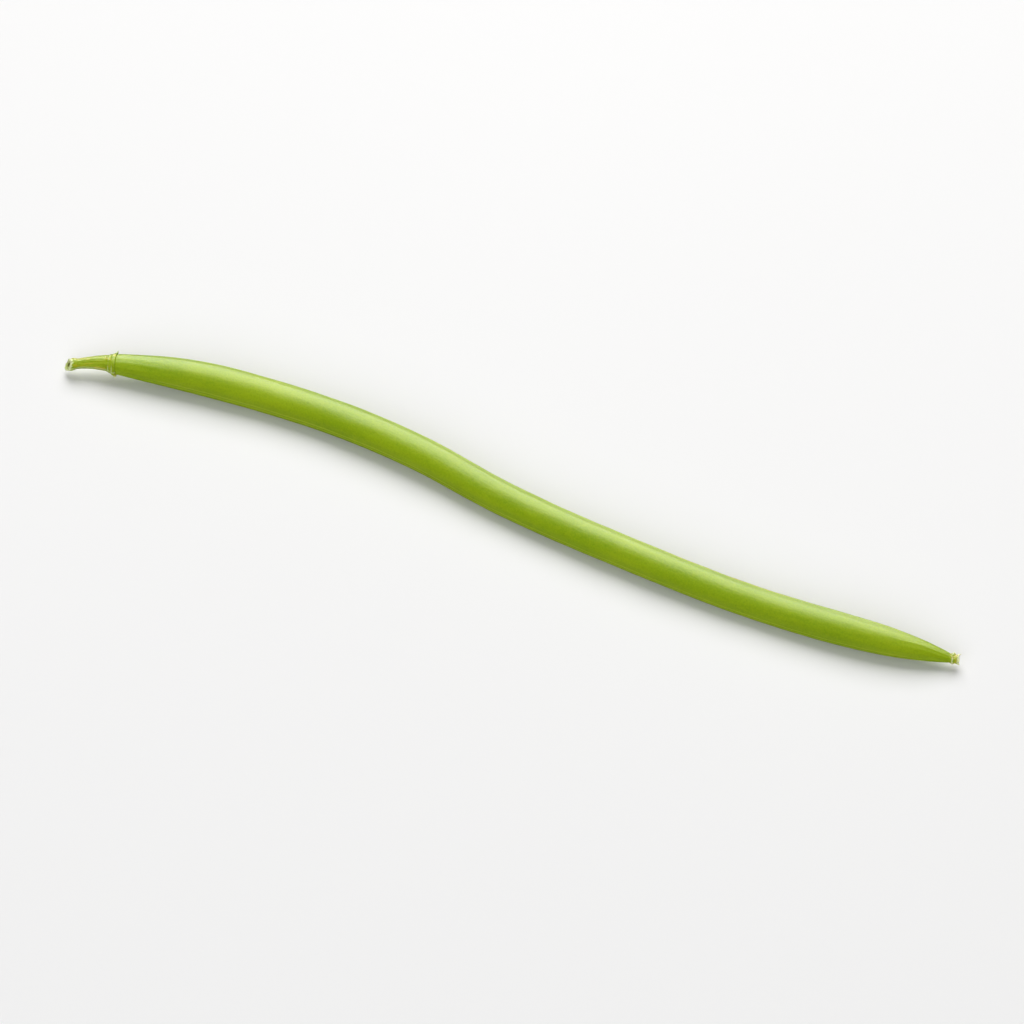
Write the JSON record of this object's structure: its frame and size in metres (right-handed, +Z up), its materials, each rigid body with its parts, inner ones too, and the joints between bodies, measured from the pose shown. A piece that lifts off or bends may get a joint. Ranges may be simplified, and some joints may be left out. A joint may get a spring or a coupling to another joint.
{
  "type": "green bean",
  "caption": "Fresh green bean lying on its side: a slender, slightly S-curved pod with two seam ridges, a toothed calyx collar and a short torn stem.",
  "frame": {"origin": "on the surface the bean lies on, under the middle of its bounding box", "axes": "+X from the stem end towards the tip, +Z up away from the surface, +Y to the side of the upper seam"},
  "size_m": [0.1612, 0.0125, 0.0057],
  "materials": {
    "pod_skin": "smooth waxy green skin with a soft sheen and fine pale speckle",
    "calyx_skin": "satin yellow-green with two pale ridges, ochre stains and a dry pale rim",
    "stem_skin": "satin yellow-green with ochre streaks, low ribs and a pale torn end"
  },
  "bodies": {
    "root": {"pod": "pod_skin", "calyx": "calyx_skin", "stem": "stem_skin"}
  },
  "joints": []
}
